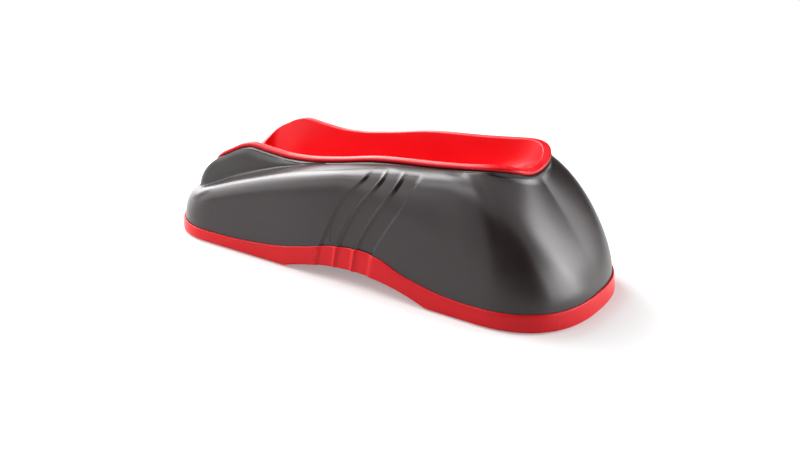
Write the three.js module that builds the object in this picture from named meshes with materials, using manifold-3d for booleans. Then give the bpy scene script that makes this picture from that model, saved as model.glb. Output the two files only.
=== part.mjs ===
// Riser block: a free-standing moulded block with a curved channel along its top.
// Millimetres, +Z up, X along the block. The channel is low at -X and climbs towards +X.
// The origin is on the floor, under the middle of the block.

import * as THREE from "three";
import { mergeVertices } from "three/addons/utils/BufferGeometryUtils.js";
import Module from "manifold-3d";

const wasm = await Module();
wasm.setup();

// Whole block
const blockLength = 337;
const blockWidth = 158;
const rimTop = 100.5; // top of the shell's upper edge, above the floor
const noseCorner = 46; // length of the rounded corner at the low end
const domeCorner = 67; // length of the rounded corner at the high end
const noseFullShare = 0.766; // how far out along its diagonal a corner passes, an ellipse has 0.707
const domeFullShare = 0.758;

// Upper edge of the shell, which the cradle's lip covers
const rimHalfWidth = 41;
const rimNoseSetback = 13.5; // from the block's low end to the edge's low end
const rimDomeSetback = 59.4; // from the block's high end to the edge's high end
const rimNoseCorner = 22;
const rimDomeCorner = 38.6;
const rimNoseFullShare = 0.766;
const rimDomeFullShare = 0.793;

// Floor of the channel, an arc seen from the side
const seatRadius = 335.5;
const seatCentreX = -98;
const seatLow = 28; // lowest point of the arc, above the floor

// Foot of the spine, where the shoulders meet it
const spineFlare = 4.6; // how much wider the spine is at its foot than at the shell's upper edge
const spineNoseFlare = 7.8;
const spineDomeFlare = 3.4;
const spineNoseCorner = 16;
const spineDomeCorner = 42;
const spineNoseFullShare = 0.841;
const spineDomeFullShare = 0.704;

// Walls and clearances
const shellWall = 2.8;
const cradleWall = 2.6;
const fitGap = 0.3;
const cutOver = 6; // how far a cutting body runs past what it cuts

// Lean of the walls from the vertical, in degrees, from the low end round to the high end
const noseLeanDegrees = 0.6;
const sideLeanDegrees = 8.5;
const domeSideLeanDegrees = 8.7;
const domeEndLeanDegrees = 9.8;

// Rounding of the shoulder's edge, measured along each leg of the corner
const noseRound = 18.5;
const sideRound = 16;
const domeSideRound = 54.5;
const domeEndRound = 68.6;
const valleyRound = 3;

// Flutes pressed into both sides
const fluteCount = 3;
const fluteDepth = 1;
const fluteStartShare = 0.422; // place of the first edge on the half outline, at the band
const flutePitchShare = 0.035;
const fluteEdgeShare = 0.14; // part of a flute's width that each steep edge takes
const sweepShare = 0.115; // how far the flutes sweep along the side as they climb
const sweepGrowthShare = 0.16;
const fluteFadeShares = [0.38, 0.52]; // where on the profile the flutes run out
const bandFluteShare = 0.6; // how deep they are in the band

// Base band
const padProud = 0.8; // how far the feet stand below the band
const archStartShare = -0.32; // of half the length
const archEndShare = 0.392;
const archHeight = 10.4;
const bandLap = 2.5; // how far the band's lip covers the shell's lower edge
const bandProud = 1.3; // how far the band stands out past the shell
const ledgeRoom = 0.5; // room behind the shell's lower edge
const flangeThick = 3.2;
const flangeWidth = 18;
const beadRound = 1.6;

// Rolled lip of the cradle
const lipHeight = 3.2;
const lipOverhang = 1;
const lipRound = 1.2;
const lipEdge = 0.8; // bevel of the lip's inner edge
const channelInset = 5.8; // from the shell's upper edge in to the channel's wall

// Screws, their seats and what they go into
const shankRadius = 1.45;
const headRadius = 3.4;
const headHeight = 2.2;
const screwLength = 14;
const screwPoint = 2.9;
const pilotDepth = 14;
const cupWall = 1.7;
const cupFloor = 2.2;
const cupRise = 3.3; // how far a screw's cup stands above the flange
const bossRadius = 4.2;
const bossHeight = 30;
const screwInset = 12;
const screwShares = [-0.819, -0.451, 0.56, 0.807]; // of half the length
const columnShares = [-0.617, 0.451];
const columnSpread = 17; // from the middle of the block to a column
const columnRadius = 5.2;
const columnTaper = 1; // how much wider a column is at its root
const barWidth = 24;
const barRibHeight = 7;
const barRibThick = 2.4;
const barLap = 3; // how far a cross bar runs into the flange

// Rubber feet
const footLength = 24;
const footWidth = 9;
const footSink = 1.6;
const footInset = 8.5;
const footShares = [-0.635, 0.682]; // of half the length

// Stiffening ribs
const ribThick = 2;
const ribRoom = 2.5; // from the band's upper edge up to the foot of a rib
const shellRibShares = [-0.7, -0.534, -0.119, 0.237, 0.392, 0.665];
const shellRibReach = 47; // from the middle of the block out to a shell rib
const cradleRibShares = [-0.772, -0.415, -0.214, 0, 0.214];
const cradleRibDepth = 8;

// Heights along the block: share of half the length, then share of rimTop
const ridgeShares = [
  [-1, 0.257], [-0.89, 0.314], [-0.712, 0.463], [-0.475, 0.617], [-0.237, 0.736],
  [0, 0.831], [0.237, 0.905], [0.475, 0.935], [0.712, 0.799],
];
const rimShares = [
  [-0.95, 0.438], [-0.795, 0.582], [-0.694, 0.68], [-0.653, 0.697], [-0.576, 0.69],
  [-0.475, 0.684], [-0.368, 0.7], [-0.226, 0.749], [0, 0.846], [0.285, 0.919],
  [0.528, 0.994], [0.623, 1.028],
];
const bandShares = [
  [-1, 0.0945], [-0.653, 0.0995], [-0.386, 0.137], [-0.237, 0.191], [-0.071, 0.259],
  [0.047, 0.278], [0.142, 0.262], [0.237, 0.207], [0.32, 0.173], [0.48, 0.134],
  [0.56, 0.128], [1, 0.144],
];

// Falls round the two ends, as shares of rimTop, and the part of a fall done half way out
const ridgeNoseFallShare = 0.057;
const ridgeDomeFallShare = 0.435;
const ridgeHalfFallShare = 0.831;
const rimHalfFallShare = 0.726;

// The crease at the foot of the spine: its height over the ridge, and where it rises and fades
const creaseShares = [0.024, 0.051];
const creaseRunShares = [-0.9, -0.3];
const creaseFadeShare = 0.35;
const creaseBlendShare = 0.9;
const valleyWidenShare = 2;
const valleyWidenShares = [0.5, 0.7];
const bulgeShares = [0.06, 0.73]; // swell of the spine's wall, inwards and upwards

// Longest leg of each rounded corner, as a share of its side
const wallLegShare = 0.9;
const shoulderLegShare = 0.915;
const valleyLegShare = 0.5;

// Section of the channel: share of its half width, share of its depth
const troughShares = [
  [0.22, 0], [0.36, 0.022], [0.66, 0.03], [0.82, 0.09], [0.9, 0.25], [0.955, 0.62],
];
const troughNoseInset = 5;

// Stations on half the outline: end of the low corner, middle of the side, start of the high corner
const noseShare = 0.2;
const sideShare = 0.45;
const domeShare = 0.72;
const sweepEndShares = [0.6, 0.95];

// Stations on the profile: end of the wall, of the rounded ridge, of the shoulder, of the crease
const wallEndShare = 0.22;
const ridgeEndShare = 0.57;
const shoulderEndShare = 0.7;
const creaseEndShare = 0.85;
const outerRowShares = [0, 0.11, 0.22, 0.29, 0.36, 0.43, 0.5, 0.57, 0.7, 0.76, 0.85, 0.92, 1];
const innerRowShares = [0, 0.22, 0.36, 0.47, 0.57, 0.7, 0.8, 1];

// Number of steps along each stretch, and of sides on round pieces
const noseSteps = 7;
const sideSteps = 4;
const domeSteps = 8;
const lipSteps = 3;
const roundSides = 14;
const boreSides = 10;
const footSides = 3;

const halfLength = blockLength / 2;
const halfWidth = blockWidth / 2;
const cupTop = padProud + flangeThick + cupRise;
const channelTop = fitGap + lipHeight - lipEdge; // channel's upper edge, over the shell's
const mergeShare = 1e-6; // points closer than this share of the length are one

const { clamp, lerp, smoothstep, degToRad } = THREE.MathUtils;

// Exponent of a superellipse whose diagonal point lies at the given share
function fullPower(share) {
  return Math.log(0.5) / Math.log(share);
}

// Fall at a distance from the middle, given as a share, with part of it done half way out
function fallAt(outShare, halfShare) {
  return 1 - outShare ** (Math.log(1 - halfShare) / Math.log(0.5));
}

// Value at share s, from values at the low end, the stations on the outline and the high end
function along(s, values) {
  const stops = [0, noseShare, sideShare, domeShare, 1];
  const i = stops.findIndex((stop, k) => k === stops.length - 2 || s <= stops[k + 1]);
  return lerp(values[i], values[i + 1], clamp((s - stops[i]) / (stops[i + 1] - stops[i]), 0, 1));
}

// Smooth height curve through chosen points, with no overshoot between them
function heightCurve(shares) {
  const xs = shares.map(([x]) => x * halfLength);
  const zs = shares.map(([, z]) => z * rimTop);
  const steps = xs.slice(1).map((x, i) => (zs[i + 1] - zs[i]) / (x - xs[i]));
  const slopes = zs.map((z, i) => {
    if (i === 0 || i === zs.length - 1) return steps[Math.max(i - 1, 0)];
    const [before, after] = [steps[i - 1], steps[i]];
    return before * after <= 0 ? 0 : (2 * before * after) / (before + after);
  });
  return (place) => {
    const x = clamp(place, xs[0], xs[xs.length - 1]);
    const i = xs.findIndex((left, k) => k === xs.length - 2 || x <= xs[k + 1]);
    const width = xs[i + 1] - xs[i];
    const t = (x - xs[i]) / width;
    const leave = t * (1 - t) * (1 - t) * width * slopes[i];
    const arrive = t * t * (t - 1) * width * slopes[i + 1];
    return lerp(zs[i], zs[i + 1], smoothstep(t, 0, 1)) + leave + arrive;
  };
}

const ridgeCurve = heightCurve(ridgeShares);
const rimCurve = heightCurve(rimShares);
const bandTop = heightCurve(bandShares);

// The band's lower edge stands on the feet and arches up between them
function bandBottom(x) {
  const start = archStartShare * halfLength;
  const u = clamp((x - start) / (archEndShare * halfLength - start), 0, 1);
  return padProud + archHeight * 4 * u * (1 - u);
}

function seatHeight(x) {
  const run = x - seatCentreX;
  return seatLow + seatRadius - Math.sqrt(seatRadius * seatRadius - run * run);
}

// Half outline with a superelliptic corner at each end, set in by inset
function outline(s, { nose, dome, half, noseLong, domeLong, noseFull, domeFull }, inset) {
  const [low, high, wide] = [inset - nose, dome - inset, half - inset];
  const [lowLong, highLong] = [noseLong - inset, domeLong - inset];
  if (s < noseShare) {
    const turn = (s / noseShare) * (Math.PI / 2);
    const power = 2 / fullPower(noseFull);
    return { x: low + lowLong * (1 - Math.cos(turn) ** power), y: -wide * Math.sin(turn) ** power };
  }
  if (s > domeShare) {
    const turn = Math.min((s - domeShare) / (1 - domeShare), 1) * (Math.PI / 2);
    const power = 2 / fullPower(domeFull);
    const across = Math.max(Math.cos(turn), 0) ** power;
    return { x: high - highLong * (1 - Math.sin(turn) ** power), y: -wide * across };
  }
  return { x: lerp(low + lowLong, high - highLong, (s - noseShare) / (domeShare - noseShare)), y: -wide };
}

const baseOutline = {
  nose: halfLength, dome: halfLength, half: halfWidth,
  noseLong: noseCorner, domeLong: domeCorner, noseFull: noseFullShare, domeFull: domeFullShare,
};
const rimOutline = {
  nose: halfLength - rimNoseSetback, dome: halfLength - rimDomeSetback, half: rimHalfWidth,
  noseLong: rimNoseCorner, domeLong: rimDomeCorner, noseFull: rimNoseFullShare, domeFull: rimDomeFullShare,
};
const spineOutline = {
  nose: rimOutline.nose + spineNoseFlare, dome: rimOutline.dome + spineDomeFlare,
  half: rimHalfWidth + spineFlare,
  noseLong: spineNoseCorner, domeLong: spineDomeCorner,
  noseFull: spineNoseFullShare, domeFull: spineDomeFullShare,
};

// Outline of the leaning wall at height z
function wallPoint(s, z, inset) {
  const degrees = along(s, [
    noseLeanDegrees, noseLeanDegrees, sideLeanDegrees, domeSideLeanDegrees, domeEndLeanDegrees,
  ]);
  const { x, y } = outline(s, baseOutline, inset + Math.tan(degToRad(degrees)) * z);
  return new THREE.Vector3(x, y, z);
}

// Height of the shell's upper edge: a curve on the sides, falling to the channel's floor at the ends
function rimHeight(s) {
  const { x, y } = outline(s, rimOutline, 0);
  const end = outline(x < 0 ? 0 : 1, rimOutline, channelInset).x;
  const endHeight = seatHeight(end) - lipHeight + lipEdge;
  return lerp(rimCurve(x), endHeight, fallAt(-y / rimHalfWidth, rimHalfFallShare));
}

function rimPoint(s, inset, raise) {
  const { x, y } = outline(s, rimOutline, inset);
  return new THREE.Vector3(x, y, rimHeight(s) + raise);
}

// Height of the ridge's curve at a place, less what it falls there towards the middle
function ridgeHeight({ x, y }, fallShare) {
  return ridgeCurve(x) - fallShare * rimTop * fallAt(-y / halfWidth, ridgeHalfFallShare);
}

// Corner between the leaning wall and the shoulder
function ridgePoint(s, inset) {
  const place = outline(s, baseOutline, 0);
  const z = ridgeHeight(place, place.x < 0 ? ridgeNoseFallShare : ridgeDomeFallShare);
  const point = wallPoint(s, z, bandProud + inset);
  point.z -= inset;
  return point;
}

// Foot of the spine: a crease below the rim on the low half, fading out on the high half
function valleyPoint(s, inset) {
  const { x, y } = outline(s, spineOutline, inset);
  const rim = rimHeight(s);
  const [runStart, runEnd] = creaseRunShares.map((share) => share * halfLength);
  const rise = lerp(...creaseShares, smoothstep(x, runStart, runEnd)) * rimTop;
  const crease = Math.min(ridgeHeight({ x, y }, ridgeNoseFallShare) + rise, rim - lipEdge);
  const ridge = Math.min(ridgePoint(s, 0).z, rim);
  const fade = smoothstep(x, 0, creaseFadeShare * halfLength);
  const z = lerp(crease, lerp(ridge, rim, creaseBlendShare), fade);
  return new THREE.Vector3(x, y, z - inset);
}

function bend(start, corner, end, t) {
  return new THREE.QuadraticBezierCurve3(start, corner, end).getPoint(t);
}

// Point on the side of a corner where its rounding starts
function legPoint(corner, to, reach, limitShare) {
  const long = corner.distanceTo(to);
  return corner.clone().lerp(to, Math.min(reach / long, limitShare));
}

// Profile of the body at share s: a function of t, from 0 at the band to 1 at the upper edge
function bodyProfile(s, inset) {
  const foot = wallPoint(s, bandTop(outline(s, baseOutline, 0).x), bandProud + inset);
  const ridge = ridgePoint(s, inset);
  const valley = valleyPoint(s, inset);
  const rim = rimPoint(s, inset, 0);
  const round = along(s, [noseRound, noseRound, sideRound, domeSideRound, domeEndRound]);
  const soft = valleyRound * (1 + valleyWidenShare * smoothstep(s, ...valleyWidenShares));
  const lower = legPoint(ridge, foot, round, wallLegShare);
  const upper = legPoint(ridge, valley, round, shoulderLegShare);
  const before = legPoint(valley, upper, soft, valleyLegShare);
  const after = legPoint(valley, rim, soft, valleyLegShare);
  const bulge = after.clone().lerp(rim, bulgeShares[0]);
  bulge.z = lerp(after.z, rim.z, bulgeShares[1]);
  const pieces = [
    [wallEndShare, (u) => foot.clone().lerp(lower, u)],
    [ridgeEndShare, (u) => bend(lower, ridge, upper, u)],
    [shoulderEndShare, (u) => upper.clone().lerp(before, u)],
    [creaseEndShare, (u) => bend(before, valley, after, u)],
    [1, (u) => bend(after, bulge, rim, u)],
  ];
  return (t) => {
    const i = pieces.findIndex(([end]) => t <= end);
    const start = i > 0 ? pieces[i - 1][0] : 0;
    return pieces[i][1]((t - start) / (pieces[i][0] - start));
  };
}

// Stations lean over as they climb, so the flutes sweep towards the high end, and lean back above the ridge
function sweptShare(s, t) {
  const climb = Math.min(t, ridgeEndShare);
  const sweep = (sweepShare + sweepGrowthShare * climb) * climb * (1 - smoothstep(t, ridgeEndShare, 1));
  return s + sweep * smoothstep(s, noseShare, fluteStartShare) * (1 - smoothstep(s, ...sweepEndShares));
}

// Flutes have flat floors and steep edges that meet in sharp arrises
function fluteDepthAt(s, t) {
  const place = (s - fluteStartShare) / flutePitchShare;
  if (place <= 0 || place >= fluteCount) return 0;
  const across = place - Math.floor(place);
  const floor = Math.min(1, Math.min(across, 1 - across) / fluteEdgeShare);
  return fluteDepth * floor * (1 - smoothstep(t, ...fluteFadeShares));
}

function bodyPoint(s, t, inset, fluted) {
  const profile = bodyProfile(sweptShare(s, t), inset);
  const point = profile(t);
  const depth = fluted ? fluteDepthAt(s, t) : 0;
  if (depth === 0) return point;
  const nearShare = 0.01;
  const tangent = profile(Math.min(t + nearShare, 1)).sub(profile(Math.max(t - nearShare, 0)));
  return point.addScaledVector(new THREE.Vector3(0, tangent.z, -tangent.y).normalize(), depth);
}

// Shares from one place up to the next, without the next
function spaced(from, to, steps) {
  return Array.from({ length: steps }, (_, i) => lerp(from, to, i / steps));
}

const fluteEndShare = fluteStartShare + fluteCount * flutePitchShare;
const fluteStarts = spaced(fluteStartShare, fluteEndShare, fluteCount);
const fluteParts = [0, fluteEdgeShare, 0.5, 1 - fluteEdgeShare];
const lowStations = [...spaced(0, noseShare, noseSteps), ...spaced(noseShare, fluteStartShare, sideSteps)];
const highStations = [
  ...spaced(fluteEndShare, domeShare, sideSteps), ...spaced(domeShare, 1, domeSteps), 1,
];
const plainStations = [...lowStations, ...fluteStarts, ...highStations];
const flutedStations = [
  ...lowStations,
  ...fluteStarts.flatMap((start) => fluteParts.map((part) => start + part * flutePitchShare)),
  ...highStations,
];

// A row is a half outline on the near side. The far side is its mirror image.
function wholeRing(row) {
  const far = row.slice(1, -1).reverse().map((p) => new THREE.Vector3(p.x, -p.y, p.z));
  const ends = [0, row.length - 1];
  return [...row.map((p, i) => new THREE.Vector3(p.x, ends.includes(i) ? 0 : p.y, p.z)), ...far];
}

// Triangles between two rings, alike on both sides of the block
function stripFaces(low, high, count) {
  const faces = [];
  for (let i = 0; i < count; i += 1) {
    const j = (i + 1) % count;
    if (i < count / 2) faces.push(low + i, low + j, high + j, low + i, high + j, high + i);
    else faces.push(low + i, low + j, high + i, low + j, high + j, high + i);
  }
  return faces;
}

// Triangles that close a ring by strips straight across the block
function capFaces(start, count, up) {
  const mirror = (i) => start + ((count - i) % count);
  const faces = [];
  for (let i = 0; i < count / 2; i += 1) {
    const [a, b, c, d] = [start + i, start + i + 1, mirror(i + 1), mirror(i)];
    if (b !== c) faces.push(...(up ? [a, b, c] : [a, c, b]));
    if (a !== d) faces.push(...(up ? [a, c, d] : [a, d, c]));
  }
  return faces;
}

// Solid through rows that run upwards on its outside, capped or closed on itself as a ring
function rowSolid(rows, capped) {
  const rings = rows.map(wholeRing);
  const count = rings[0].length;
  const top = (rings.length - 1) * count;
  const faces = capped
    ? [...capFaces(0, count, false), ...capFaces(top, count, true)]
    : stripFaces(top, 0, count);
  for (let start = 0; start < top; start += count) faces.push(...stripFaces(start, start + count, count));
  const geometry = new THREE.BufferGeometry();
  const numbers = rings.flat().flatMap((p) => [p.x, p.y, p.z]);
  geometry.setAttribute("position", new THREE.Float32BufferAttribute(numbers, 3));
  geometry.setIndex(faces);
  return solid(geometry);
}

function solid(geometry) {
  const bare = geometry.clone();
  bare.deleteAttribute("normal");
  bare.deleteAttribute("uv");
  const merged = mergeVertices(bare, mergeShare * blockLength);
  return new wasm.Manifold(new wasm.Mesh({
    numProp: 3,
    vertProperties: new Float32Array(merged.attributes.position.array),
    triVerts: new Uint32Array(merged.index.array),
  }));
}

function cylinder({ x, y }, radius, low, high, sides, topRadius = radius) {
  const geometry = new THREE.CylinderGeometry(topRadius, radius, high - low, sides);
  geometry.rotateX(Math.PI / 2);
  geometry.translate(x, y, (low + high) / 2);
  return solid(geometry);
}

function box([x0, x1], [y0, y1], [z0, z1]) {
  const geometry = new THREE.BoxGeometry(x1 - x0, y1 - y0, z1 - z0);
  geometry.translate((x0 + x1) / 2, (y0 + y1) / 2, (z0 + z1) / 2);
  return solid(geometry);
}

// Upright pad with round ends, along X, or along Y when turned
function pad({ x, y, turned }, long, wide, low, high) {
  const [radius, straight] = [wide / 2, (long - wide) / 2];
  const shape = new THREE.Shape();
  shape.absarc(straight, 0, radius, -Math.PI / 2, Math.PI / 2, false);
  shape.absarc(-straight, 0, radius, Math.PI / 2, (3 * Math.PI) / 2, false);
  const options = { depth: high - low, bevelEnabled: false, curveSegments: footSides };
  const geometry = new THREE.ExtrudeGeometry(shape, options);
  if (turned) geometry.rotateZ(Math.PI / 2);
  geometry.translate(x, y, low);
  return solid(geometry);
}

// Both points at x, near and far, that lie inset from the base outline
function pairAt(x, inset) {
  let [low, high] = [0, 1];
  while (high - low > mergeShare) {
    const middle = (low + high) / 2;
    if (outline(middle, baseOutline, inset).x < x) low = middle;
    else high = middle;
  }
  const { y } = outline(low, baseOutline, inset);
  return [{ x, y }, { x, y: -y }];
}

const screwSpots = screwShares.flatMap((share) => pairAt(share * halfLength, screwInset));
const columnSpots = columnShares.flatMap((share) => [-columnSpread, columnSpread].map((y) => (
  { x: share * halfLength, y }
)));
const footSpots = [
  ...footShares.flatMap((share) => pairAt(share * halfLength, footInset)),
  { x: footInset - halfLength, y: 0, turned: true },
  { x: halfLength - footInset, y: 0, turned: true },
];

// Body of the block as one volume, set in from the outside, running down past the band's edge by drop
function bodyVolume(inset, fluted, drop, rise) {
  const stations = fluted ? flutedStations : plainStations;
  const foot = stations.map((s) => {
    const point = wallPoint(s, bandTop(outline(s, baseOutline, 0).x) - drop, bandProud + inset);
    point.y += fluted ? fluteDepthAt(s, 0) : 0;
    return point;
  });
  const rowShares = fluted ? outerRowShares : innerRowShares;
  const rows = rowShares.map((t) => stations.map((s) => bodyPoint(s, t, inset, fluted)));
  const top = stations.map((s) => rimPoint(s, inset, rise));
  return rowSolid([foot, ...rows, top], true);
}

// Rows of the channel's surface from its floor up its walls, grown by the given wall
function troughRows(grow) {
  const inner = outline(sideShare, rimOutline, channelInset);
  return troughShares.map(([widthShare, depthShare]) => plainStations.map((s) => {
    const narrow = -inner.y * (1 - widthShare);
    const shorten = troughNoseInset * (1 - widthShare);
    const { x, y } = outline(s, {
      ...rimOutline,
      nose: rimOutline.nose - shorten, dome: rimOutline.dome - shorten, half: rimHalfWidth - narrow,
    }, channelInset - grow);
    const depth = rimHeight(s) + channelTop - seatHeight(outline(s, rimOutline, channelInset).x);
    return new THREE.Vector3(x, y, seatHeight(x) + Math.max(depth, lipEdge) * depthShare - grow);
  }));
}

// The channel as a volume, grown by a wall, up to a height over the shell's upper edge
function troughVolume(grow, rise) {
  const top = plainStations.map((s) => rimPoint(s, channelInset - grow, rise));
  return rowSolid([...troughRows(grow), top], true);
}

// Takes off all that stands above the shell's upper edge, along the same lines as the lip's underside
function rimCutter() {
  const [inner, outer] = [channelInset + cutOver, -cutOver];
  const low = [inner, channelInset - cradleWall, lipRound - lipOverhang, outer];
  return rowSolid([
    ...low.map((inset) => plainStations.map((s) => rimPoint(s, inset, 0))),
    ...[outer, inner].map((inset) => plainStations.map((s) => rimPoint(s, inset, rimTop))),
  ], false);
}

function pilotBore(spot) {
  return cylinder(spot, shankRadius + fitGap, cupTop - cutOver, cupTop + pilotDepth, boreSides);
}

// Upper moulding: an open shell with screw bosses and stiffening ribs inside
function outerShell() {
  const inside = bodyVolume(shellWall, false, bandLap + cutOver, cutOver);
  const core = bodyVolume(shellWall / 2, false, bandLap + cutOver, 0);
  let shell = bodyVolume(0, true, bandLap - fitGap, fitGap).subtract(inside).subtract(rimCutter());
  const rib = (x, reach, high) => {
    const across = [x - ribThick / 2, x + ribThick / 2];
    return box(across, reach, [bandTop(x) + ribRoom, high]);
  };
  for (const spot of screwSpots) {
    const high = cupTop + bossHeight;
    const web = rib(spot.x, spot.y < 0 ? [-halfWidth, spot.y] : [spot.y, halfWidth], high);
    const boss = cylinder(spot, bossRadius, cupTop + fitGap, high, roundSides);
    shell = shell.add(boss.add(web).intersect(core));
  }
  for (const x of shellRibShares.map((share) => share * halfLength)) {
    for (const reach of [[-halfWidth, -shellRibReach], [shellRibReach, halfWidth]]) {
      shell = shell.add(rib(x, reach, rimTop).intersect(core));
    }
  }
  for (const spot of screwSpots) shell = shell.subtract(pilotBore(spot));
  return shell;
}

// Rows of the rolled lip, from its underside round the outside to the channel's upper edge
function lipRows() {
  const arc = [...spaced(-Math.PI / 2, Math.PI / 2, lipSteps), Math.PI / 2];
  const round = arc.map((turn) => [
    lipRound * (1 - Math.cos(turn)) - lipOverhang, (lipHeight / 2) * (1 + Math.sin(turn)),
  ]);
  const section = [
    [channelInset - cradleWall, 0], ...round,
    [channelInset - lipEdge, lipHeight], [channelInset, lipHeight - lipEdge],
  ];
  return section.map(([inset, z]) => plainStations.map((s) => rimPoint(s, inset, fitGap + z)));
}

// Liner of the channel with its lip, ribs under the trough and columns for the screws
function cradleLiner() {
  let liner = rowSolid([...troughRows(cradleWall), ...lipRows(), ...troughRows(0).reverse()], true);
  const aboveWall = troughVolume(cradleWall / 2, channelTop);
  const ribZone = troughVolume(cradleRibDepth, 0);
  const half = rimHalfWidth - channelInset;
  for (const x of cradleRibShares.map((share) => share * halfLength)) {
    const foot = seatHeight(x) - cradleWall - cradleRibDepth;
    const rib = box([x - ribThick / 2, x + ribThick / 2], [-half, half], [foot, rimTop]);
    liner = liner.add(rib.intersect(ribZone).subtract(aboveWall));
  }
  for (const spot of columnSpots) {
    const top = seatHeight(spot.x);
    const rootRadius = columnRadius + columnTaper;
    const column = cylinder(spot, columnRadius, cupTop + fitGap, top, roundSides, rootRadius);
    liner = liner.add(column.subtract(aboveWall));
  }
  for (const spot of columnSpots) liner = liner.subtract(pilotBore(spot));
  return liner;
}

// Ring of the band: a bead on the floor side, a lip over the shell's edge, a ledge and a flange
function bandRing() {
  const ledge = bandProud + shellWall + ledgeRoom;
  const lipInside = bandProud - fitGap;
  const section = [
    [beadRound, 0, 0, 0], [0, 0, beadRound, 1], [0, 1, -beadRound / 2, 1], [beadRound / 4, 1, 0, 1],
    [lipInside, 1, 0, 1], [lipInside, 1, -bandLap, 1], [ledge, 1, -bandLap, 0],
    [ledge, 0, flangeThick, 0], [flangeWidth, 0, flangeThick, 0], [flangeWidth, 0, 0, 0],
  ];
  return rowSolid(section.map(([inset, edgeShare, raise, fluteShare]) => flutedStations.map((s) => {
    const { x } = outline(s, baseOutline, 0);
    const point = wallPoint(s, lerp(bandBottom(x), bandTop(x), edgeShare) + raise, inset);
    point.y += fluteDepthAt(s, 0) * bandFluteShare * fluteShare;
    return point;
  })), false);
}

// Base moulding: the ring, two ribbed cross bars, a counterbored cup for each screw, recesses for the feet
function baseBand() {
  let band = bandRing();
  const barTop = padProud + flangeThick;
  const reach = halfWidth - flangeWidth + barLap;
  for (const x of columnShares.map((share) => share * halfLength)) {
    band = band.add(box([x - barWidth / 2, x + barWidth / 2], [-reach, reach], [padProud, barTop]));
    for (const left of [x - barWidth / 2, x + barWidth / 2 - barRibThick]) {
      const rib = box([left, left + barRibThick], [-reach, reach], [padProud, barTop + barRibHeight]);
      band = band.add(rib);
    }
  }
  const spots = [...screwSpots, ...columnSpots];
  const headRoom = headRadius + fitGap;
  const cupRadius = headRoom + cupWall;
  for (const spot of spots) band = band.add(cylinder(spot, cupRadius, padProud, cupTop, roundSides));
  for (const spot of spots) {
    band = band.subtract(cylinder(spot, headRoom, -cutOver, cupTop - cupFloor, roundSides));
    band = band.subtract(cylinder(spot, shankRadius + fitGap, -cutOver, cupTop + cutOver, boreSides));
  }
  for (const spot of footSpots) {
    const [long, wide] = [footLength + 2 * fitGap, footWidth + 2 * fitGap];
    band = band.subtract(pad(spot, long, wide, -cutOver, padProud + footSink));
  }
  return band;
}

function rubberFoot(spot) {
  return pad(spot, footLength, footWidth, 0, padProud + footSink - fitGap);
}

// Pan-head screw, head down
function screw({ x, y }) {
  const round = headHeight / 3;
  const profile = [
    [0, -headHeight], [headRadius - round, -headHeight], [headRadius, round - headHeight],
    [headRadius, 0], [shankRadius, 0], [shankRadius, screwLength - screwPoint], [0, screwLength],
  ].map(([r, z]) => new THREE.Vector2(r, z));
  const geometry = new THREE.LatheGeometry(profile, boreSides);
  geometry.rotateX(Math.PI / 2);
  geometry.translate(x, y, cupTop - cupFloor - fitGap);
  return solid(geometry);
}

const anthracite = { color: 0x4a4646, roughness: 0.45, metalness: 0 };
const red = { color: 0xe3352f, roughness: 0.4, metalness: 0 };
const rubber = { color: 0x1c1c1d, roughness: 0.85, metalness: 0 };
const steel = { color: 0x8f9296, roughness: 0.35, metalness: 1 };

const block = new THREE.Group();

function addPiece(name, body, finish) {
  const { vertProperties, triVerts } = body.getMesh();
  const geometry = new THREE.BufferGeometry();
  geometry.setAttribute("position", new THREE.Float32BufferAttribute(vertProperties, 3));
  geometry.setIndex([...triVerts]);
  geometry.computeVertexNormals();
  const mesh = new THREE.Mesh(geometry, new THREE.MeshStandardMaterial(finish));
  mesh.name = name;
  block.add(mesh);
}

addPiece("outer_shell", outerShell(), anthracite);
addPiece("cradle_liner", cradleLiner(), red);
addPiece("base_band", baseBand(), red);
footSpots.forEach((spot, i) => addPiece(`rubber_foot_${i + 1}`, rubberFoot(spot), rubber));
screwSpots.forEach((spot, i) => addPiece(`shell_screw_${i + 1}`, screw(spot), steel));
columnSpots.forEach((spot, i) => addPiece(`cradle_screw_${i + 1}`, screw(spot), steel));

export default block;
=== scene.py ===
import math

import bpy
import numpy as np
from mathutils import Matrix, Vector


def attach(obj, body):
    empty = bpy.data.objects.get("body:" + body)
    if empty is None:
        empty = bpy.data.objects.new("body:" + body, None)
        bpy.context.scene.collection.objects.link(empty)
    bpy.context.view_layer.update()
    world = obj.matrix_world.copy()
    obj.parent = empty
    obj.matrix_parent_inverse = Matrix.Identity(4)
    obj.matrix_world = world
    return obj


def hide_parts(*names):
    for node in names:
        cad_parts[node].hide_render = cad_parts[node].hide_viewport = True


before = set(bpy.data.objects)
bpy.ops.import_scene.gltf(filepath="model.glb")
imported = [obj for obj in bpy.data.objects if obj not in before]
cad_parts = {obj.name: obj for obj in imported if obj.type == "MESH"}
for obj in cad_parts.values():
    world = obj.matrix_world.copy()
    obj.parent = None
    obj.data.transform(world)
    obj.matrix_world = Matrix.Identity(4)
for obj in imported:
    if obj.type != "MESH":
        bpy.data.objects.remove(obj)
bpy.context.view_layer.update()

# %% [markdown]
# The camera stands where the photograph was taken from, a good metre away and about
# 22 degrees above the floor. A camera could be aimed with a Track To constraint. Here its
# axes are written as a matrix instead, because the photograph is also turned a little about
# the line of sight, and a matrix holds the place, the aim and that turn in one step.

# %% Camera
image_width = 800
camera_place = Vector((0.52753, -1.00207, 0.48744))
camera_azimuth = math.radians(27.77)
camera_elevation = math.radians(22.32)
camera_roll = math.radians(4.65)
focal_pixels = 1607.09
sensor_width = 36

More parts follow.
